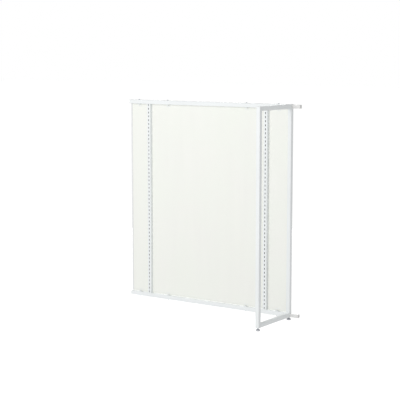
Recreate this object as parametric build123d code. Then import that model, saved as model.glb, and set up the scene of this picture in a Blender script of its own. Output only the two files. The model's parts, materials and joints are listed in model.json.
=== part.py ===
from build123d import *
import os

# Add-on bay of a modular display wall, in millimetres.
# Origin: on the floor, under the axis of the rear post.
# +X points out of the spigots towards the next bay, -Y is the display side, +Z is up.

# Driving dimensions
BAY_LENGTH = 1250.0        # free end of the rails to the outer face of the rear post
FRAME_DEPTH = 385.0        # front face of the front post to rear face of the wall
FRAME_HEIGHT = 1320.0      # posts, without feet and caps
FOOT_HEIGHT = 19.0         # floor to the lower end of the posts
TUBE = 25.0                # outside width of every square tube
TUBE_WALL = 1.2
TUBE_CORNER = 2.0          # outside corner radius
SPIGOT = 22.0              # outside width of the joint spigots
SPIGOT_WALL = 1.5
SPIGOT_LENGTH = 60.0
UPRIGHT_SPACING = 906.0    # centre to centre of the slotted uprights
SLOT_PITCH = 25.0
SLOT_WIDTH = 5.0
SLOT_HEIGHT = 13.0
SLOT_COUNT = 51
CENTRE_CLIP_SPACING = 612.0
PANEL_THICKNESS = 4.0
PANEL_RECESS = 19.0        # face of the panels behind the face of the tubes

# Fits and gaps
THREAD_PLAY = 0.05         # radial gap of a screw in its nut
INSERT_PLAY = 0.05         # gap between a plug and the tube wall, each side
PANEL_SIDE_GAP = 1.0
PANEL_END_GAP = 2.0

# Levelling feet
FOOT_THREAD_R = 4.0
PAD_R = 14.0
PAD_TOP_R = 9.5
PAD_TOP = 10.5
SOLE_R = 12.5
SOLE_THICKNESS = 1.5
STEM_TOP = 56.0
STEM_HEAD_R = 6.0
STEM_HEAD_BASE = 4.0
STEM_HEAD_THICKNESS = 3.0
STEM_HEX_WIDTH = 11.0
STEM_HEX_BASE = 10.7
STEM_HEX_THICKNESS = 2.5
LOCK_NUT_WIDTH = 13.0
LOCK_NUT_THICKNESS = 4.0
INSERT_HEIGHT = 25.0
PAD_RIM_R = 13.5           # where the pad's bell starts, above its straight rim
PAD_RIM_Z = 4.5
STEM_CHAMFER = 0.8
SOLE_CHAMFER = 0.4

# Panel clips and M6 fasteners
M6_R = 3.0
M6_CLEARANCE_R = 3.3
CLIP_WIDTH = 30.0
CLIP_THICKNESS = 1.5
CLIP_LEG = 25.0
CLIP_FRONT = -8.0
BUTTON_HEAD_R = 5.25       # head of every M6 screw
BUTTON_HEAD_HEIGHT = 3.3
BUTTON_HEAD_ROUND = 2.0
KEY_WIDTH = 4.0
KEY_FLOOR = 1.3            # floor of the key socket above the head's seat
WASHER_R = 6.0
WASHER_THICKNESS = 1.6
CLIP_NUT_WIDTH = 10.0
CLIP_NUT_THICKNESS = 5.0
SCREW_TIP = 1.0            # thread that stands out of the clip nut
RIVET_R = 2.0
RIVET_HEAD_R = 4.0
RIVET_HEAD_HEIGHT = 1.2
RIVET_HEAD_ROUND = 0.84
RIVET_TAIL_R = 2.8
RIVET_SPACING = 16.0
RIVET_DROP = 15.0          # rivets below (or above) the rail's face

# Rivet nuts of the spigots, and the screws that lock the rails
RIVET_NUT_R = 4.5
RIVET_NUT_LENGTH = 10.0
LOCK_SHANK = 9.0

# Plastic trim
CAP_THICKNESS = 2.0
CAP_SKIRT = 12.0
CAP_SKIRT_WALL = 2.0
CAP_SKIRT_CORNER = 2.8
SPIGOT_CAP_TAPER = 1.4
TRIM_WIDTH = 12.0
TRIM_WALL = 1.2

# Places worked out from the dimensions above
HALF = TUBE / 2
FRAME_BOTTOM = FOOT_HEIGHT
FRAME_TOP = FRAME_BOTTOM + FRAME_HEIGHT
TOP_RAIL_Z = FRAME_TOP - HALF
BOTTOM_RAIL_Z = FRAME_BOTTOM + HALF
INNER_BOTTOM = FRAME_BOTTOM + TUBE
INNER_TOP = FRAME_TOP - TUBE
FRONT_POST_Y = TUBE - FRAME_DEPTH
RAIL_RIGHT = -HALF
RAIL_LEFT = HALF - BAY_LENGTH
RAIL_LENGTH = RAIL_RIGHT - RAIL_LEFT
RAIL_MIDDLE = (RAIL_LEFT + RAIL_RIGHT) / 2
LEFT_UPRIGHT_X = RAIL_MIDDLE - UPRIGHT_SPACING / 2
RIGHT_UPRIGHT_X = RAIL_MIDDLE + UPRIGHT_SPACING / 2
FIRST_SLOT_Z = INNER_BOTTOM + SLOT_PITCH / 2
PANEL_FRONT = PANEL_RECESS - HALF
PANEL_BACK = PANEL_FRONT + PANEL_THICKNESS
CLIP_BACK = PANEL_BACK + CLIP_THICKNESS
PANEL_BOTTOM = INNER_BOTTOM + PANEL_END_GAP
PANEL_TOP = INNER_TOP - PANEL_END_GAP
SIDE_PANEL_MIDDLE = (LEFT_UPRIGHT_X - HALF + RAIL_LEFT) / 2
CLIP_XS = [
    SIDE_PANEL_MIDDLE,
    RAIL_MIDDLE - CENTRE_CLIP_SPACING / 2,
    RAIL_MIDDLE + CENTRE_CLIP_SPACING / 2,
    2 * RAIL_MIDDLE - SIDE_PANEL_MIDDLE,
]
RIVET_TOP_Z = INNER_TOP - RIVET_DROP
RIVET_BOTTOM_Z = INNER_BOTTOM + RIVET_DROP
SPIGOT_NUT_OFFSET = SPIGOT_LENGTH / 2

ALONG_X = Rot(0, 90, 0)    # turns a shape drawn along +Z to +X
ALONG_Y = Rot(-90, 0, 0)   # turns a shape drawn along +Z to +Y


def save(name, *solids):
    """Write one node: a single solid, or a group of identical ones."""
    shape = solids[0] if len(solids) == 1 else Compound(children=list(solids))
    export_step(shape, f"parts/{name}.step")


def square_tube(width, wall, corner, length):
    """Square tube with rounded corners, from z = 0 upwards."""
    bore = width - 2 * wall
    section = RectangleRounded(width, width, corner)
    section -= RectangleRounded(bore, bore, corner - wall)
    return extrude(section, length)


def frame_tube(length):
    return square_tube(TUBE, TUBE_WALL, TUBE_CORNER, length)


def rod(radius, low, high):
    """Cylinder along z between two heights."""
    return Pos(0, 0, low) * extrude(Circle(radius), high - low)


def hex_bar(width, low, high):
    """Hexagonal bar, measured across its flats."""
    outline = RegularPolygon(width / 2, 6, major_radius=False)
    return Pos(0, 0, low) * extrude(outline, high - low)


def button_screw(tip, seat):
    """M6 button-head screw along z, with its tip at one height and its head's seat at another."""
    head = rod(BUTTON_HEAD_R, seat, seat + BUTTON_HEAD_HEIGHT)
    head = fillet(head.faces().sort_by(Axis.Z)[-1].edges(), BUTTON_HEAD_ROUND)
    screw = head + rod(M6_R, tip, seat)
    return screw - hex_bar(KEY_WIDTH, seat + KEY_FLOOR, seat + 2 * BUTTON_HEAD_HEIGHT)


# ---- posts, rails and uprights ----

def post(y):
    return Pos(0, y, FRAME_BOTTOM) * frame_tube(FRAME_HEIGHT)


def side_rail(z):
    """Tube that joins the front post to the rear post."""
    start = FRONT_POST_Y + HALF
    return Pos(0, start, z) * ALONG_Y * frame_tube(-HALF - start)


def rail(z):
    """Long rail, drilled for the clip screws and, at the back, for both lock screws."""
    tube = Pos(RAIL_LEFT, 0, z) * ALONG_X * frame_tube(RAIL_LENGTH)
    for x in CLIP_XS:
        tube -= Pos(x, 0, z) * rod(M6_CLEARANCE_R, -TUBE, TUBE)
    for x in (RAIL_LEFT + SPIGOT_NUT_OFFSET, RAIL_RIGHT - SPIGOT_NUT_OFFSET):
        tube -= Pos(x, 0, z) * ALONG_Y * rod(M6_CLEARANCE_R, 0, TUBE)
    return tube


def upright(x):
    """Tube between the rails with one row of bracket slots in its front wall."""
    tube = Pos(x, 0, INNER_BOTTOM) * frame_tube(INNER_TOP - INNER_BOTTOM)
    slot = extrude(SlotOverall(SLOT_HEIGHT, SLOT_WIDTH, rotation=90), TUBE_WALL * 2)
    slot = ALONG_Y * slot
    places = [
        Pos(x, -HALF - TUBE_WALL / 2, FIRST_SLOT_Z + i * SLOT_PITCH)
        for i in range(SLOT_COUNT)
    ]
    return tube - [place * slot for place in places]


def post_cap(y):
    """Push-in cap that closes the upper end of a post."""
    head = extrude(RectangleRounded(TUBE, TUBE, TUBE_CORNER), CAP_THICKNESS)
    head = chamfer(head.faces().sort_by(Axis.Z)[-1].edges(), CAP_THICKNESS / 2)
    skirt_width = TUBE - 2 * (TUBE_WALL + INSERT_PLAY)
    skirt = square_tube(skirt_width, CAP_SKIRT_WALL, CAP_SKIRT_CORNER, CAP_SKIRT)
    return Pos(0, y, FRAME_TOP) * (head + Pos(0, 0, -CAP_SKIRT) * skirt)


# ---- spigots ----

def spigot(side, z):
    """Square spigot on the rear post. side is +1 outside, -1 inside the bay's own rail."""
    length = SPIGOT_LENGTH - CAP_THICKNESS
    tube = square_tube(SPIGOT, SPIGOT_WALL, TUBE_CORNER, length)
    start = HALF if side > 0 else -HALF - length
    tube = Pos(start, 0, z) * ALONG_X * tube
    nut_x = side * (HALF + SPIGOT_NUT_OFFSET)
    return tube - Pos(nut_x, 0, z) * ALONG_Y * rod(RIVET_NUT_R, 0, TUBE)


def spigot_cap(side, z):
    """Plug with a tapered head that leads the spigot into a rail."""
    head = extrude(RectangleRounded(SPIGOT, SPIGOT, TUBE_CORNER), CAP_THICKNESS)
    head = chamfer(head.faces().sort_by(Axis.Z)[-1].edges(), SPIGOT_CAP_TAPER)
    skirt_width = SPIGOT - 2 * (SPIGOT_WALL + INSERT_PLAY)
    skirt = square_tube(skirt_width, CAP_SKIRT_WALL, CAP_SKIRT_CORNER, CAP_SKIRT)
    plug = head + Pos(0, 0, -CAP_SKIRT) * skirt
    end = HALF + SPIGOT_LENGTH - CAP_THICKNESS
    return Pos(side * end, 0, z) * Rot(0, 90 * side, 0) * plug


def spigot_nut(side, z):
    """Flush rivet nut in the rear wall of a spigot."""
    back = SPIGOT / 2
    nut = rod(RIVET_NUT_R, back - RIVET_NUT_LENGTH, back)
    nut -= rod(M6_R + THREAD_PLAY, 0, TUBE)
    return Pos(side * (HALF + SPIGOT_NUT_OFFSET), 0, z) * ALONG_Y * nut


def rail_lock_screw(z):
    """Screw through the rail's rear wall into the inner spigot's nut."""
    screw = button_screw(HALF - LOCK_SHANK, HALF)
    return Pos(-HALF - SPIGOT_NUT_OFFSET, 0, z) * ALONG_Y * screw


# ---- infill panels and their fixings ----

def panel(left, right, clip_xs):
    """Flat board between two x positions, drilled for the rivets of its clips."""
    corner = (Align.MIN, Align.MIN, Align.MIN)
    board = Box(right - left, PANEL_THICKNESS, PANEL_TOP - PANEL_BOTTOM, align=corner)
    board = Pos(left, PANEL_FRONT, PANEL_BOTTOM) * board
    for z in (RIVET_TOP_Z, RIVET_BOTTOM_Z):
        for x in clip_xs:
            board -= rivet_holes(x, z)
    return board


def rivet_xs(x):
    return (x - RIVET_SPACING / 2, x + RIVET_SPACING / 2)


def rivet_holes(x, z):
    hole = ALONG_Y * rod(RIVET_R + THREAD_PLAY, 0, TUBE)
    return [Pos(rivet_x, 0, z) * hole for rivet_x in rivet_xs(x)]


def edge_trim():
    """U-shaped plastic profile over the free edge of the left panel."""
    depth = PANEL_THICKNESS + 2 * TRIM_WALL
    outline = Rectangle(TRIM_WIDTH, depth, align=(Align.MIN, Align.CENTER))
    groove = Rectangle(TRIM_WIDTH, PANEL_THICKNESS, align=(Align.MIN, Align.CENTER))
    profile = outline - Pos(TRIM_WALL, 0) * groove
    length = PANEL_TOP - PANEL_BOTTOM
    middle = (PANEL_FRONT + PANEL_BACK) / 2
    return Pos(RAIL_LEFT, middle, PANEL_BOTTOM) * extrude(profile, length)


def at_clip(x, end):
    """Place something drawn for the top rail's underside. end is +1 top, -1 bottom."""
    if end > 0:
        return Pos(x, 0, INNER_TOP)
    return Pos(x, 0, INNER_BOTTOM) * Rot(0, 180, 0)


def panel_clip(x, end):
    """Angle bracket: one leg under the rail, one leg behind the panel."""
    depth = CLIP_BACK - CLIP_FRONT
    lowest = (Align.CENTER, Align.MIN, Align.MAX)
    leg = Pos(0, CLIP_FRONT, 0) * Box(CLIP_WIDTH, depth, CLIP_THICKNESS, align=lowest)
    back = Pos(0, PANEL_BACK, 0) * Box(CLIP_WIDTH, CLIP_THICKNESS, CLIP_LEG, align=lowest)
    clip = leg + back - rod(M6_CLEARANCE_R, -TUBE / 2, 1)
    return at_clip(x, end) * (clip - rivet_holes(0, -RIVET_DROP))


def clip_screw(x, end):
    """Screw through both walls of the rail, the clip and its nut."""
    tip = -CLIP_THICKNESS - CLIP_NUT_THICKNESS - SCREW_TIP
    return at_clip(x, end) * button_screw(tip, TUBE + WASHER_THICKNESS)


def clip_washer(x, end):
    washer = rod(WASHER_R, TUBE, TUBE + WASHER_THICKNESS)
    return at_clip(x, end) * (washer - rod(M6_CLEARANCE_R, 0, 2 * TUBE))


def clip_nut(x, end):
    """Square weld nut on the inner face of a clip."""
    outline = Rectangle(CLIP_NUT_WIDTH, CLIP_NUT_WIDTH) - Circle(M6_R + THREAD_PLAY)
    nut = extrude(outline, -CLIP_NUT_THICKNESS)
    return at_clip(x, end) * Pos(0, 0, -CLIP_THICKNESS) * nut


def rivet(x, z):
    """Blind rivet with a domed head on the panel's display side."""
    tail = CLIP_BACK + RIVET_HEAD_HEIGHT
    head = rod(RIVET_HEAD_R, PANEL_FRONT - RIVET_HEAD_HEIGHT, PANEL_FRONT)
    head = fillet(head.faces().sort_by(Axis.Z)[0].edges(), RIVET_HEAD_ROUND)
    body = head + rod(RIVET_R, PANEL_FRONT, tail)
    body += rod(RIVET_TAIL_R, CLIP_BACK, tail)
    return Pos(x, 0, z) * ALONG_Y * body


# ---- levelling feet ----

def foot_insert():
    """Threaded plug pressed into the lower end of a post."""
    width = TUBE - 2 * (TUBE_WALL + INSERT_PLAY)
    plug = extrude(RectangleRounded(width, width, TUBE_CORNER - TUBE_WALL), INSERT_HEIGHT)
    plug -= rod(FOOT_THREAD_R + THREAD_PLAY, -1, INSERT_HEIGHT + 1)
    return Pos(0, 0, FRAME_BOTTOM) * plug


def foot_lock_nut():
    nut = hex_bar(LOCK_NUT_WIDTH, FOOT_HEIGHT - LOCK_NUT_THICKNESS, FOOT_HEIGHT)
    return nut - rod(FOOT_THREAD_R + THREAD_PLAY, 0, 2 * FOOT_HEIGHT)


def foot_stem():
    """Threaded stem with a disc head held in the pad and a hexagon for a spanner."""
    stem = rod(FOOT_THREAD_R, STEM_HEAD_BASE, STEM_TOP)
    stem = chamfer(stem.faces().sort_by(Axis.Z)[-1].edges(), STEM_CHAMFER)
    stem += rod(STEM_HEAD_R, STEM_HEAD_BASE, STEM_HEAD_BASE + STEM_HEAD_THICKNESS)
    return stem + hex_bar(STEM_HEX_WIDTH, STEM_HEX_BASE, STEM_HEX_BASE + STEM_HEX_THICKNESS)


def foot_pad():
    """Bell-shaped pad. Its pocket holds the stem's head, which turns in it."""
    rim = (PAD_RIM_R, PAD_RIM_Z)
    top = (PAD_TOP_R, PAD_TOP)
    upright_first = (-0.1, 1)
    almost_level_last = (-1, 0.25)
    with BuildPart() as pad:
        with BuildSketch(Plane.XZ):
            with BuildLine():
                Polyline((0, PAD_TOP), (0, SOLE_THICKNESS), (PAD_R, SOLE_THICKNESS), rim)
                Spline(rim, top, tangents=[upright_first, almost_level_last])
                Line(top, (0, PAD_TOP))
            make_face()
        revolve(axis=Axis.Z)
    pocket = rod(
        STEM_HEAD_R + THREAD_PLAY,
        STEM_HEAD_BASE - THREAD_PLAY,
        STEM_HEAD_BASE + STEM_HEAD_THICKNESS + THREAD_PLAY,
    )
    return pad.part - pocket - rod(FOOT_THREAD_R + THREAD_PLAY, STEM_HEAD_BASE, 2 * PAD_TOP)


def foot_sole():
    """Anti-slip disc under the pad."""
    sole = rod(SOLE_R, 0, SOLE_THICKNESS)
    return chamfer(sole.faces().sort_by(Axis.Z)[0].edges(), SOLE_CHAMFER)


# ---- write every node ----

os.makedirs("parts", exist_ok=True)

save("front_post", post(FRONT_POST_Y))
save("rear_post", post(0))
save("front_post_cap", post_cap(FRONT_POST_Y))
save("rear_post_cap", post_cap(0))
save("side_top_rail", side_rail(TOP_RAIL_Z))
save("side_bottom_rail", side_rail(BOTTOM_RAIL_Z))

save("top_rail", rail(TOP_RAIL_Z))
save("bottom_rail", rail(BOTTOM_RAIL_Z))
save("left_upright", upright(LEFT_UPRIGHT_X))
save("right_upright", upright(RIGHT_UPRIGHT_X))

RAIL_ZS = (TOP_RAIL_Z, BOTTOM_RAIL_Z)
for level, z in zip(("top", "bottom"), RAIL_ZS):
    save(f"{level}_inner_spigot", spigot(-1, z))
    save(f"{level}_outer_spigot", spigot(1, z))
    save(f"{level}_outer_spigot_cap", spigot_cap(1, z))
save("inner_spigot_caps", *[spigot_cap(-1, z) for z in RAIL_ZS])
save("inner_spigot_nuts", *[spigot_nut(-1, z) for z in RAIL_ZS])
save("outer_spigot_nuts", *[spigot_nut(1, z) for z in RAIL_ZS])
save("rail_lock_screws", *[rail_lock_screw(z) for z in RAIL_ZS])

side_gap = HALF + PANEL_SIDE_GAP
save("left_panel", panel(RAIL_LEFT + TRIM_WALL, LEFT_UPRIGHT_X - side_gap, CLIP_XS[:1]))
save("centre_panel", panel(LEFT_UPRIGHT_X + side_gap, RIGHT_UPRIGHT_X - side_gap, CLIP_XS[1:3]))
save("right_panel", panel(RIGHT_UPRIGHT_X + side_gap, RAIL_RIGHT - PANEL_SIDE_GAP, CLIP_XS[3:]))
save("left_edge_trim", edge_trim())

for level, end, rivet_z in (("top", 1, RIVET_TOP_Z), ("bottom", -1, RIVET_BOTTOM_Z)):
    save(f"{level}_panel_clips", *[panel_clip(x, end) for x in CLIP_XS])
    save(f"{level}_clip_screws", *[clip_screw(x, end) for x in CLIP_XS])
    save(f"{level}_clip_washers", *[clip_washer(x, end) for x in CLIP_XS])
    save(f"{level}_clip_nuts", *[clip_nut(x, end) for x in CLIP_XS])
    rivets = [rivet(rivet_x, rivet_z) for x in CLIP_XS for rivet_x in rivet_xs(x)]
    save(f"{level}_panel_rivets", *rivets)

for place, y in (("front", FRONT_POST_Y), ("rear", 0)):
    save(f"{place}_foot_insert", Pos(0, y, 0) * foot_insert())
    save(f"{place}_foot_lock_nut", Pos(0, y, 0) * foot_lock_nut())
    save(f"{place}_foot_stem", Pos(0, y, 0) * foot_stem())
    save(f"{place}_foot_pad", Pos(0, y, 0) * foot_pad())
    save(f"{place}_foot_sole", Pos(0, y, 0) * foot_sole())
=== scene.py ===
"""Looks of the display wall bay: camera, light, materials, weld seams and threaded foot stems."""
import json
import math

import bmesh
import bpy
from mathutils import Matrix, Vector


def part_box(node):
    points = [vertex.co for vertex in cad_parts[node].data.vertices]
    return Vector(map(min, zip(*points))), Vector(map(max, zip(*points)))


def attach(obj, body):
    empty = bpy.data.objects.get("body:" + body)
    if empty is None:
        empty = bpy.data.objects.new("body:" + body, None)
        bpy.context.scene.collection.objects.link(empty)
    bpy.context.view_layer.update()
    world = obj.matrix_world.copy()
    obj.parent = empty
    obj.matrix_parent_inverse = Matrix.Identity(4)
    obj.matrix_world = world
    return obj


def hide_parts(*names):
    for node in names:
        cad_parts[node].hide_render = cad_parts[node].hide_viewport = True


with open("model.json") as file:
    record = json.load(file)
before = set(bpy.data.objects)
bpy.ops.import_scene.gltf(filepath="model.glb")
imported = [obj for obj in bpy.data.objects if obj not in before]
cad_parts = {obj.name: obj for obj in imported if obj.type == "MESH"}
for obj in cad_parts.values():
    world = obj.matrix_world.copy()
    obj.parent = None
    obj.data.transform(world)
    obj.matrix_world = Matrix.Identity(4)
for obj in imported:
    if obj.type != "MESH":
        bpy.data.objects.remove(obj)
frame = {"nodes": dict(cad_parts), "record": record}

MM = 0.001
X = Vector((1, 0, 0))
Y = Vector((0, 1, 0))
Z = Vector((0, 0, 1))

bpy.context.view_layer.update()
nodes = frame["nodes"]
slot_of = {part["node"]: part["material_slot"] for part in frame["record"]["subparts"]}

# Camera, in the row frame
CAMERA_AT = Vector((3.719, -6.297, 1.682))
CAMERA_YAW = 34.897     # degrees from +Y towards -X
CAMERA_PITCH = 7.264    # degrees below level
LENS_MM = 107.605
SENSOR_MM = 36.0

# Radiance of the surroundings, and how much it grows towards each axis
SKY_BASE = 0.80
SKY_SLOPE = Vector((0.12, -0.20, -0.15))

# Square lamps: place, aim, side and power in watts
LAMPS = {
    "key": (Vector((-1.2, -4.0, 2.4)), Vector((-0.7, 0, 1.0)), 2.4, 74),
    "back_fill": (Vector((-2.4, 3.0, 1.0)), Vector((-0.6, 0, 0.7)), 2.0, 44),
}
FLOOR_REACH = 40        # metres from the middle to each side

# What shows where a coat or paint ends, or lies on top of it
# painted shade: the bare steel of the bores, coloured near black to stand in for the shade inside tubes
# and slots
SHADED_BORE_STEEL = (0.09, 0.088, 0.085)
RUBBED_STEEL = (0.45, 0.45, 0.46)
RAW_BOARD = (0.60, 0.53, 0.44)
DUST = (0.30, 0.29, 0.28)
EDGE_RADIUS = 0.3 * MM   # how round all edges look

# Square tubes
CORNER = 2 * MM          # outside corner radius
TUBE_REACH = 60 * MM     # well over the width of a bore

# Weld seams
WELD_LEG = 2.2 * MM
SPIGOT_WELD_LEG = 1.4 * MM
WELD_RIPPLE = 1.3 * MM   # length of one ripple of the seam
RIPPLE_DEPTH = 0.16      # share of the leg
WELD_START = 0.45        # leg at both ends of a seam, as a share of the full leg
WELD_GROWTH = 0.75       # how much of the full leg it gains with each ripple
RINGS_PER_RIPPLE = 5
SECTION_POINTS = 6
SECTION_BULGE = 1.35     # 1 is a flat seam, 2 a quarter circle
WELD_ROOT = 0.2 * MM     # how far the seam reaches into its corner

# Levelling feet
COLUMNS = 48             # points round a turned piece, 8 for each flat of a hexagon
PITCH = 1.25 * MM
THREAD_DEPTH = 0.65 * MM
THREAD_FLAT = 0.15       # flat crest and flat root, each as a share of the pitch
RINGS_PER_TURN = 8
STEM_RADIUS = 4 * MM
STEM_HEAD_RADIUS = 6 * MM
STEM_HEAD_HEIGHT = 3 * MM
STEM_HEX_WIDTH = 11 * MM
STEM_HEX_BASE = 6.7 * MM  # above the stem's lower end
STEM_HEX_HEIGHT = 2.5 * MM
HEX_END = 0.97           # round end face of a hexagon, as a share of its width
HEX_DEPTHS = [0, 0.1 * MM, 0.2 * MM, 0.35 * MM, 0.5 * MM, 0.7 * MM]  # rings of its turned corners
BORE_PLAY = 0.05 * MM
COUNTERSINK = 0.6 * MM
EDGE_BREAK = 0.3 * MM
SHARP_ANGLE = math.radians(35)


# ---- camera, stage and light ----

def facing(at, ahead):
    """Placement of a camera or lamp that stands at a point and looks ahead."""
    return Matrix.Translation(at) @ ahead.to_track_quat("-Z", "Y").to_matrix().to_4x4()


def add_camera():
    """Long lens at the front right, a little above the top of the wall."""
    data = bpy.data.cameras.new("camera")
    data.lens = LENS_MM
    data.sensor_width = SENSOR_MM
    data.clip_end = 100
    camera = bpy.data.objects.new("camera", data)
    bpy.context.scene.collection.objects.link(camera)
    yaw, pitch = math.radians(CAMERA_YAW), math.radians(CAMERA_PITCH)
    ahead = Vector((
        -math.sin(yaw) * math.cos(pitch),
        math.cos(yaw) * math.cos(pitch),
        -math.sin(pitch),
    ))
    camera.matrix_world = facing(CAMERA_AT, ahead)
    bpy.context.scene.camera = camera


def add_world():
    """White for the camera, and a soft gradient as light that grows along SKY_SLOPE."""
    world = bpy.data.worlds.new("studio")
    bpy.context.scene.world = world
    world.use_nodes = True
    tree = world.node_tree
    tree.nodes.clear()
    make = tree.nodes.new
    link = tree.links.new
    direction = make("ShaderNodeTexCoord")
    slope = make("ShaderNodeVectorMath")
    slope.operation = "DOT_PRODUCT"
    slope.inputs[1].default_value = SKY_SLOPE
    radiance = make("ShaderNodeMath")
    radiance.inputs[1].default_value = SKY_BASE
    glow = make("ShaderNodeBackground")
    white = make("ShaderNodeBackground")
    seen = make("ShaderNodeLightPath")
    mix = make("ShaderNodeMixShader")
    out = make("ShaderNodeOutputWorld")
    link(direction.outputs["Generated"], slope.inputs[0])
    link(slope.outputs["Value"], radiance.inputs[0])
    link(radiance.outputs["Value"], glow.inputs["Strength"])
    link(seen.outputs["Is Camera Ray"], mix.inputs["Fac"])
    link(glow.outputs["Background"], mix.inputs[1])
    link(white.outputs["Background"], mix.inputs[2])
    link(mix.outputs["Shader"], out.inputs["Surface"])
    white.inputs["Color"].default_value = (1, 1, 1, 1)
    bpy.context.scene.view_settings.view_transform = "Standard"


def add_lamps():
    """Two soft lamps: the key light in front, and a fill for the back."""
    for name, (at, aim, side, power) in LAMPS.items():
        data = bpy.data.lights.new(name, "AREA")
        data.shape = "SQUARE"
        data.size = side
        data.energy = power
        lamp = bpy.data.objects.new(name, data)
        bpy.context.scene.collection.objects.link(lamp)
        lamp.visible_camera = False
        lamp.matrix_world = facing(at, aim - at)


def foot_travel():
    """How far a foot screws down from its place at rest."""
    joints = frame["record"]["behaviour"]["joints"]
    return max(joint["range_m"][1] for joint in joints if joint["type"] == "slide")


def add_floor():
    """White paper that glows a little, low enough for the feet to show when screwed right out."""
    mesh = bpy.data.meshes.new("floor")
    z = -foot_travel()
    reach = FLOOR_REACH
    corners = [(-reach, -reach, z), (reach, -reach, z), (reach, reach, z), (-reach, reach, z)]
    mesh.from_pydata(corners, [], [(0, 1, 2, 3)])
    floor = bpy.data.objects.new("floor", mesh)
    bpy.context.scene.collection.objects.link(floor)
    floor.visible_diffuse = False
    mesh.materials.append(floor_material())


# ---- materials ----

class Paint:
    """A Principled material and the few nodes that its procedural detail is made of."""

    def __init__(self, name, roughness, metallic=0.0, specular=0.5):
        self.material = bpy.data.materials.new(name)
        self.material.use_nodes = True
        self.tree = self.material.node_tree
        self.shader = self.tree.nodes["Principled BSDF"]
        self.shader.inputs["Roughness"].default_value = roughness
        self.shader.inputs["Metallic"].default_value = metallic
        self.shader.inputs["Specular IOR Level"].default_value = specular
        self.where = self.tree.nodes.new("ShaderNodeTexCoord").outputs["Object"]
        rounded = self.node("Bevel", samples=4)
        rounded.inputs["Radius"].default_value = EDGE_RADIUS
        self.normal = rounded.outputs["Normal"]

    def node(self, kind, **settings):
        """A new shader node with the given settings."""
        made = self.tree.nodes.new("ShaderNode" + kind)
        for key, value in settings.items():
            setattr(made, key, value)
        return made

    def link(self, source, target):
        self.tree.links.new(source, target)

    def stretched(self, scale):
        """The row frame's coordinates, multiplied by a vector, so that noise can run along one axis."""
        mapping = self.node("Mapping")
        mapping.inputs["Scale"].default_value = scale
        self.link(self.where, mapping.inputs["Vector"])
        return mapping.outputs["Vector"]

    def noise(self, size, detail=3.0, grain=(1, 1, 1)):
        """Noise from 0 to 1 whose blobs are about size metres across."""
        noise = self.node("TexNoise")
        noise.inputs["Scale"].default_value = 1 / size
        noise.inputs["Detail"].default_value = detail
        self.link(self.stretched(grain), noise.inputs["Vector"])
        return noise.outputs["Fac"]

    def cells(self, size):
        """Distance to the nearest of many random points about size metres apart."""
        voronoi = self.node("TexVoronoi")
        voronoi.inputs["Scale"].default_value = 1 / size
        self.link(self.where, voronoi.inputs["Vector"])
        return voronoi.outputs["Distance"]

    def spread(self, value, low, high, to_low=0.0, to_high=1.0):
        """Maps a stretch of a value's range to another range, and holds it there."""
        ranged = self.node("MapRange")
        self.link(value, ranged.inputs["Value"])
        limits = (("From Min", low), ("From Max", high), ("To Min", to_low), ("To Max", to_high))
        for name, limit in limits:
            ranged.inputs[name].default_value = limit
        return ranged.outputs["Result"]

    def multiply(self, a, b):
        product = self.node("Math", operation="MULTIPLY")
        self.link(a, product.inputs[0])
        self.link(b, product.inputs[1])
        return product.outputs["Value"]

    def edges(self, radius):
        """1 on edges sharper than the radius, 0 on flat stretches."""
        bevel = self.node("Bevel", samples=4)
        bevel.inputs["Radius"].default_value = radius
        geometry = self.node("NewGeometry")
        cosine = self.node("VectorMath", operation="DOT_PRODUCT")
        self.link(bevel.outputs["Normal"], cosine.inputs[0])
        self.link(geometry.outputs["Normal"], cosine.inputs[1])
        return self.spread(cosine.outputs["Value"], 0.99, 0.85)

    def enclosed_shade(self, reach):
        """1 where a piece shuts itself in, as in the bore of a tube, and 0 on its outside: the
        ambient-occlusion mask for painted shade.
        """
        around = self.node("AmbientOcclusion", samples=8, only_local=True)
        around.inputs["Distance"].default_value = reach
        return self.spread(around.outputs["AO"], 0.3, 0.1)

    def mix(self, amount, first, second):
        """Blends two colours, each a plain colour or another mix."""
        mix = self.node("Mix", data_type="RGBA")
        self.link(amount, mix.inputs["Factor"])
        first_socket, second_socket = mix.inputs[6], mix.inputs[7]  # the two for colours
        for socket, colour in ((first_socket, first), (second_socket, second)):
            if isinstance(colour, tuple):
                socket.default_value = (*colour, 1)
            else:
                self.link(colour, socket)
        return mix.outputs[2]

    def colour(self, source):
        self.link(source, self.shader.inputs["Base Color"])

    def roughness(self, source):
        self.link(source, self.shader.inputs["Roughness"])

    def metallic(self, source):
        self.link(source, self.shader.inputs["Metallic"])

    def bump(self, source, depth, strength):
        """Adds relief of the given depth in metres on top of what is there already."""
        bump = self.node("Bump")
        bump.inputs["Strength"].default_value = strength
        bump.inputs["Distance"].default_value = depth
        self.link(source, bump.inputs["Height"])
        self.link(self.normal, bump.inputs["Normal"])
        self.normal = bump.outputs["Normal"]
        self.link(self.normal, self.shader.inputs["Normal"])


def darker(colour, share):
    return tuple(channel * (1 - share) for channel in colour)


def paler(colour, share):
    return tuple(channel + (1 - channel) * share for channel in colour)


def floor_material():
    """Matt white paper with faint clouds, which glows a little so that it stays white in shade."""
    paint = Paint("floor_paper", roughness=0.9, specular=0.1)
    paint.colour(paint.mix(paint.noise(0.6), (0.93, 0.93, 0.93), (0.95, 0.95, 0.95)))
    paint.shader.inputs["Emission Color"].default_value = (1, 1, 1, 1)
    paint.shader.inputs["Emission Strength"].default_value = 0.5
    return paint.material


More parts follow.
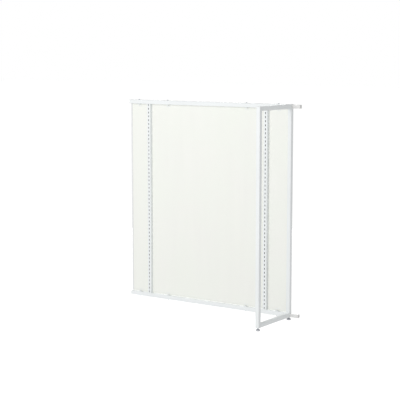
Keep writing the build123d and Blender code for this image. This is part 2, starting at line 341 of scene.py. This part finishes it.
def powder_coat(name, colour, roughness, worn):
    """Powder coat over steel: orange peel, faint unevenness, rubbed edges, and painted shade in the
    bores, where half-metallic bare steel is coloured near black wherever the piece shuts itself in.
    """
    paint = Paint(name, roughness)
    tone = paint.spread(paint.noise(0.22, detail=4), 0.35, 0.65)
    coat = paint.mix(tone, colour, darker(colour, 0.025))
    specks = paint.spread(paint.cells(5 * MM), 0.06, 0.03)
    coat = paint.mix(paint.multiply(specks, paint.spread(tone, 0.4, 0.9)), coat, darker(colour, 0.12))
    handled = paint.spread(paint.noise(12 * MM, detail=6), 0.5, 0.7, 0, worn)
    rubbed = paint.multiply(paint.edges(0.7 * MM), handled)
    coat = paint.mix(rubbed, coat, darker(colour, 0.35))
    # painted shade: near-black, half-metallic colour wherever the piece's own ambient occlusion finds it
    # shut in, as inside tubes and slots
    bore = paint.enclosed_shade(TUBE_REACH)
    paint.colour(paint.mix(bore, coat, SHADED_BORE_STEEL))
    paint.metallic(paint.spread(bore, 0, 1, 0, 0.5))
    gloss = paint.spread(paint.noise(35 * MM, detail=5), 0.3, 0.7, roughness - 0.05, roughness + 0.07)
    paint.roughness(gloss)
    paint.bump(paint.noise(0.9 * MM, detail=1), 0.06 * MM, strength=0.5)
    paint.bump(paint.noise(6 * MM, detail=2), 0.10 * MM, strength=0.25)
    return paint.material


def painted_board(name, colour):
    """Matt paint on pressed fibreboard: fine fibre texture, soft roller marks, faint scuffs."""
    paint = Paint(name, roughness=0.62, specular=0.35)
    roller = paint.spread(paint.noise(60 * MM, detail=3, grain=(1, 1, 0.08)), 0.35, 0.65)
    cloud = paint.spread(paint.noise(0.3, detail=5), 0.35, 0.65)
    board = paint.mix(roller, colour, darker(colour, 0.018))
    board = paint.mix(cloud, board, (colour[0] * 0.985, colour[1], colour[2] * 0.985))
    fibres = paint.spread(paint.noise(1.6 * MM, detail=5, grain=(1, 1, 0.35)), 0.62, 0.75)
    board = paint.mix(fibres, board, darker(colour, 0.05))
    knocks = paint.spread(paint.noise(9 * MM, detail=5), 0.5, 0.65, 0, 0.5)
    rubbed = paint.multiply(paint.edges(0.5 * MM), knocks)
    paint.colour(paint.mix(rubbed, board, RAW_BOARD))
    paint.roughness(paint.spread(paint.noise(25 * MM, detail=6), 0.3, 0.7, 0.55, 0.72))
    paint.bump(paint.noise(0.7 * MM, detail=4, grain=(1, 1, 0.5)), 0.05 * MM, strength=0.6)
    paint.bump(roller, 0.08 * MM, strength=0.2)
    return paint.material


def moulded_plastic(name, colour, roughness=0.45):
    """Moulded plastic: fine spark-eroded grain and slightly paler, shinier rubbed edges."""
    paint = Paint(name, roughness)
    cloud = paint.spread(paint.noise(15 * MM, detail=3), 0.35, 0.65)
    plastic = paint.mix(cloud, colour, darker(colour, 0.05))
    handled = paint.spread(paint.noise(5 * MM, detail=4), 0.4, 0.65, 0, 0.6)
    rubbed = paint.multiply(paint.edges(0.5 * MM), handled)
    paint.colour(paint.mix(rubbed, plastic, paler(colour, 0.18)))
    gloss = paint.spread(paint.noise(8 * MM, detail=4), 0.3, 0.7, roughness - 0.06, roughness + 0.1)
    paint.roughness(gloss)
    paint.bump(paint.noise(0.5 * MM, detail=3), 0.05 * MM, strength=0.5)
    return paint.material


def extruded_plastic(name, colour):
    """Extruded profile: fine die lines that run up its length."""
    paint = Paint(name, roughness=0.4)
    lines = paint.noise(0.5 * MM, detail=3, grain=(1, 1, 0.004))
    cloud = paint.spread(paint.noise(0.15, detail=3), 0.35, 0.65)
    paint.colour(paint.mix(cloud, colour, darker(colour, 0.03)))
    paint.roughness(paint.spread(lines, 0.3, 0.7, 0.34, 0.5))
    paint.bump(lines, 0.04 * MM, strength=0.5)
    return paint.material


def zinc_plate(name, colour):
    """Zinc plate: bluish steel, uneven gloss, fine grain and dull spots."""
    paint = Paint(name, roughness=0.3, metallic=1.0)
    cloud = paint.spread(paint.noise(3 * MM, detail=5), 0.35, 0.65)
    plate = paint.mix(cloud, colour, (colour[0] * 0.86, colour[1] * 0.9, colour[2] * 0.97))
    spots = paint.spread(paint.noise(1.2 * MM, detail=4), 0.6, 0.72)
    paint.colour(paint.mix(spots, plate, darker(colour, 0.3)))
    gloss = paint.spread(paint.noise(1.5 * MM, detail=5), 0.3, 0.7, 0.22, 0.46)
    paint.roughness(gloss)
    paint.bump(paint.noise(0.35 * MM, detail=3), 0.03 * MM, strength=0.4)
    return paint.material


def spigot_coat(name, colour):
    """Thin coat on the spigots, scored along their length where rails have slid over them."""
    paint = Paint(name, roughness=0.42)
    streaks = paint.spread(paint.noise(1.2 * MM, detail=5, grain=(0.03, 1, 1)), 0.56, 0.66)
    patches = paint.spread(paint.noise(18 * MM, detail=4), 0.42, 0.6)
    cloud = paint.spread(paint.noise(40 * MM, detail=3), 0.35, 0.65)
    coat = paint.mix(cloud, colour, darker(colour, 0.05))
    coat = paint.mix(paint.multiply(streaks, patches), coat, darker(colour, 0.3))
    handled = paint.spread(paint.noise(6 * MM, detail=5), 0.45, 0.6)
    bare = paint.multiply(paint.edges(0.8 * MM), handled)
    paint.colour(paint.mix(bare, coat, RUBBED_STEEL))
    paint.metallic(bare)
    paint.roughness(paint.spread(streaks, 0, 1, 0.4, 0.55))
    paint.bump(streaks, -0.03 * MM, strength=0.6)
    paint.bump(paint.noise(1 * MM, detail=1), 0.05 * MM, strength=0.4)
    return paint.material


def rubber(name, colour):
    """Anti-slip rubber: matt, with a pebbled skin and patches of dust."""
    paint = Paint(name, roughness=0.85, specular=0.25)
    dust = paint.spread(paint.noise(6 * MM, detail=5), 0.45, 0.7, 0, 0.5)
    paint.colour(paint.mix(dust, colour, DUST))
    paint.bump(paint.cells(0.9 * MM), 0.12 * MM, strength=0.7)
    return paint.material


MATERIALS = {
    "frame_paint": powder_coat("frame_paint", (0.828, 0.855, 0.86), 0.42, worn=0.25),
    "panel_board": painted_board("panel_board", (0.86, 0.865, 0.825)),
    "trim_plastic": extruded_plastic("trim_plastic", (0.76, 0.77, 0.77)),
    "cap_plastic": moulded_plastic("cap_plastic", (0.84, 0.85, 0.86)),
    "spigot_steel": spigot_coat("spigot_steel", (0.80, 0.80, 0.79)),
    "spigot_cap_plastic": moulded_plastic("spigot_cap_plastic", (0.76, 0.76, 0.75)),
    "zinc_steel": zinc_plate("zinc_steel", (0.52, 0.53, 0.55)),
    "foot_plastic": moulded_plastic("foot_plastic", (0.53, 0.54, 0.575), roughness=0.5),
    "foot_rubber": rubber("foot_rubber", (0.06, 0.06, 0.065)),
    "insert_plastic": moulded_plastic("insert_plastic", (0.07, 0.07, 0.08)),
}


def dress_cad_nodes():
    """Gives every CAD node the material of its slot in the record."""
    for name, node in nodes.items():
        node.data.materials[0] = MATERIALS[slot_of[name]]


# ---- shapes ----

class Skin:
    """Closed skins, each stretched over a row of rings of points, gathered into one piece."""

    def __init__(self):
        self.points = []
        self.faces = []

    def add(self, rings, loop=False):
        """Joins ring to ring. A loop joins the last to the first; otherwise both end rings are closed."""
        size = len(rings[0])
        start = len(self.points)
        for ring in rings:
            self.points.extend(ring)
        spans = len(rings) if loop else len(rings) - 1
        for span in range(spans):
            lower = start + span * size
            upper = start + (span + 1) % len(rings) * size
            for i in range(size):
                j = (i + 1) % size
                self.faces.append((lower + i, lower + j, upper + j, upper + i))
        if not loop:
            last = start + (len(rings) - 1) * size
            self.faces.append(tuple(range(start, start + size)))
            self.faces.append(tuple(range(last, last + size)))

    def piece(self, name, body, slot):
        """Turns the skins into one piece that rides on a body, with the finish of a material slot."""
        mesh = bpy.data.meshes.new(name)
        mesh.from_pydata(self.points, [], self.faces)
        shell = bmesh.new()
        shell.from_mesh(mesh)
        bmesh.ops.recalc_face_normals(shell, faces=shell.faces)
        shell.to_mesh(mesh)
        shell.free()
        mesh.shade_smooth()
        mesh.set_sharp_from_angle(angle=SHARP_ANGLE)
        mesh.materials.append(MATERIALS[slot])
        piece = bpy.data.objects.new(name, mesh)
        bpy.context.scene.collection.objects.link(piece)
        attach(piece, body)
        return piece


# Weld seams

def seam(start, end, first, second, leg):
    """Rippled fillet seam between two points of a corner, whose faces run along first and second."""
    along = end - start
    ripples = round(along.length / WELD_RIPPLE)
    count = ripples * RINGS_PER_RIPPLE
    root = -WELD_ROOT * (first + second)
    rings = []
    for i in range(count + 1):
        share = i / count
        ripple = abs(math.sin(math.pi * share * ripples))
        to_end = ripples * min(share, 1 - share)
        growth = min(1, WELD_START + WELD_GROWTH * to_end)
        size = leg * growth * (1 - RIPPLE_DEPTH * (1 - ripple))
        middle = start + along * share
        ring = [middle + root]
        for point in range(SECTION_POINTS):
            angle = math.pi / 2 * point / (SECTION_POINTS - 1)
            on_first = abs(math.cos(angle)) ** (2 / SECTION_BULGE)
            on_second = abs(math.sin(angle)) ** (2 / SECTION_BULGE)
            ring.append(middle + size * (on_first * first + on_second * second))
        rings.append(ring)
    return rings


def upright_welds():
    """Seams on both sides of each upright, where it meets the long rails."""
    skin = Skin()
    for node in ("left_upright", "right_upright"):
        low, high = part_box(node)
        front, back = low.y + CORNER, high.y - CORNER
        for x, out in ((low.x, -X), (high.x, X)):
            for z, into in ((low.z, Z), (high.z, -Z)):
                start, end = Vector((x, front, z)), Vector((x, back, z))
                skin.add(seam(start, end, out, into, WELD_LEG))
    skin.piece("upright_welds", "frame", "frame_paint")


def end_frame_welds():
    """Seams in the inner corners of the end frame, where its side rails meet the posts."""
    skin = Skin()
    low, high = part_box("side_top_rail")
    left, right = low.x + CORNER, high.x - CORNER
    over_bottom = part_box("side_bottom_rail")[1].z
    for z, into in ((low.z, -Z), (over_bottom, Z)):
        for y, out in ((low.y, Y), (high.y, -Y)):
            start, end = Vector((left, y, z)), Vector((right, y, z))
            skin.add(seam(start, end, out, into, WELD_LEG))
    skin.piece("end_frame_welds", "frame", "frame_paint")


def spigot_welds():
    """Seams round the outer spigots, on the face of the rear post."""
    skin = Skin()
    for node in ("top_outer_spigot", "bottom_outer_spigot"):
        low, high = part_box(node)
        middle = (low + high) / 2
        for across, out in ((Y, Z), (Z, Y)):
            half = (high - low).dot(across) / 2 - CORNER
            reach = (high - low).dot(out) / 2
            for side in (-1, 1):
                centre = Vector((low.x, middle.y, middle.z)) + side * reach * out
                start, end = centre - half * across, centre + half * across
                skin.add(seam(start, end, side * out, X, SPIGOT_WELD_LEG))
    skin.piece("spigot_welds", "frame", "frame_paint")


# Levelling feet

def turned(centre, profile):
    """Rings about a vertical axis, from pairs of height and radius. A radius may depend on the angle."""
    rings = []
    for z, radius in profile:
        ring = []
        for i in range(COLUMNS):
            angle = 2 * math.pi * i / COLUMNS
            r = radius(angle) if callable(radius) else radius
            x = centre.x + r * math.cos(angle)
            y = centre.y + r * math.sin(angle)
            ring.append(Vector((x, y, z)))
        rings.append(ring)
    return rings


def hexagon(width, low, high):
    """Hexagonal bar between two heights, its corners turned off at 30 degrees at both ends."""
    end_radius = HEX_END * width / 2

    def outline(depth):
        def radius(angle):
            from_flat = (angle + math.pi / 6) % (math.pi / 3) - math.pi / 6
            return min(width / 2 / math.cos(from_flat), end_radius + depth * math.sqrt(3))
        return radius

    lower = [(low + depth, outline(depth)) for depth in HEX_DEPTHS]
    upper = [(high - depth, outline(depth)) for depth in reversed(HEX_DEPTHS)]
    return lower + upper


def thread(radius, low, high):
    """Right-hand thread between two heights, running out into its core at both ends."""
    steps = round((high - low) / PITCH * RINGS_PER_TURN)

    def outline(z):
        run_out = 1 - min(z - low, high - z) / PITCH

        def at(angle):
            turn = (z / PITCH - angle / (2 * math.pi)) % 1
            flank = (abs(2 * turn - 1) - THREAD_FLAT) / (1 - 2 * THREAD_FLAT)
            cut = min(1, max(0, flank, run_out))
            return radius - THREAD_DEPTH * cut
        return at

    heights = [low + (high - low) * i / steps for i in range(steps + 1)]
    return [(z, outline(z)) for z in heights]


def foot_stem(place):
    """Threaded stem with its disc head and hexagon, in place of the plain CAD stem."""
    node = f"{place}_foot_stem"
    low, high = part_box(node)
    head_top = low.z + STEM_HEAD_HEIGHT
    hex_base = low.z + STEM_HEX_BASE
    hex_top = hex_base + STEM_HEX_HEIGHT
    profile = [
        (low.z, STEM_HEAD_RADIUS - EDGE_BREAK),
        (low.z + EDGE_BREAK, STEM_HEAD_RADIUS),
        (head_top - EDGE_BREAK, STEM_HEAD_RADIUS),
        (head_top, STEM_HEAD_RADIUS - EDGE_BREAK),
        (head_top, STEM_RADIUS),
        (hex_base, STEM_RADIUS),
    ]
    profile += hexagon(STEM_HEX_WIDTH, hex_base, hex_top)
    profile += thread(STEM_RADIUS, hex_top, high.z)
    skin = Skin()
    skin.add(turned((low + high) / 2, profile))
    piece = skin.piece(f"{place}_threaded_stem", node, "zinc_steel")
    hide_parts(node)


def foot_lock_nut(place):
    """Hexagon nut with turned corners and a countersunk bore, in place of the plain CAD nut."""
    node = f"{place}_foot_lock_nut"
    low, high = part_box(node)
    width = min(high.x - low.x, high.y - low.y)
    bore = STEM_RADIUS + BORE_PLAY
    profile = hexagon(width, low.z, high.z)
    profile += [
        (high.z, bore + COUNTERSINK),
        (high.z - COUNTERSINK, bore),
        (low.z + COUNTERSINK, bore),
        (low.z, bore + COUNTERSINK),
    ]
    skin = Skin()
    skin.add(turned((low + high) / 2, profile), loop=True)
    piece = skin.piece(f"{place}_chamfered_nut", "frame", "zinc_steel")
    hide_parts(node)


# ---- the scene ----

add_camera()
add_world()
add_lamps()
add_floor()
dress_cad_nodes()
upright_welds()
end_frame_welds()
spigot_welds()
for place in ("front", "rear"):
    foot_stem(place)
    foot_lock_nut(place)
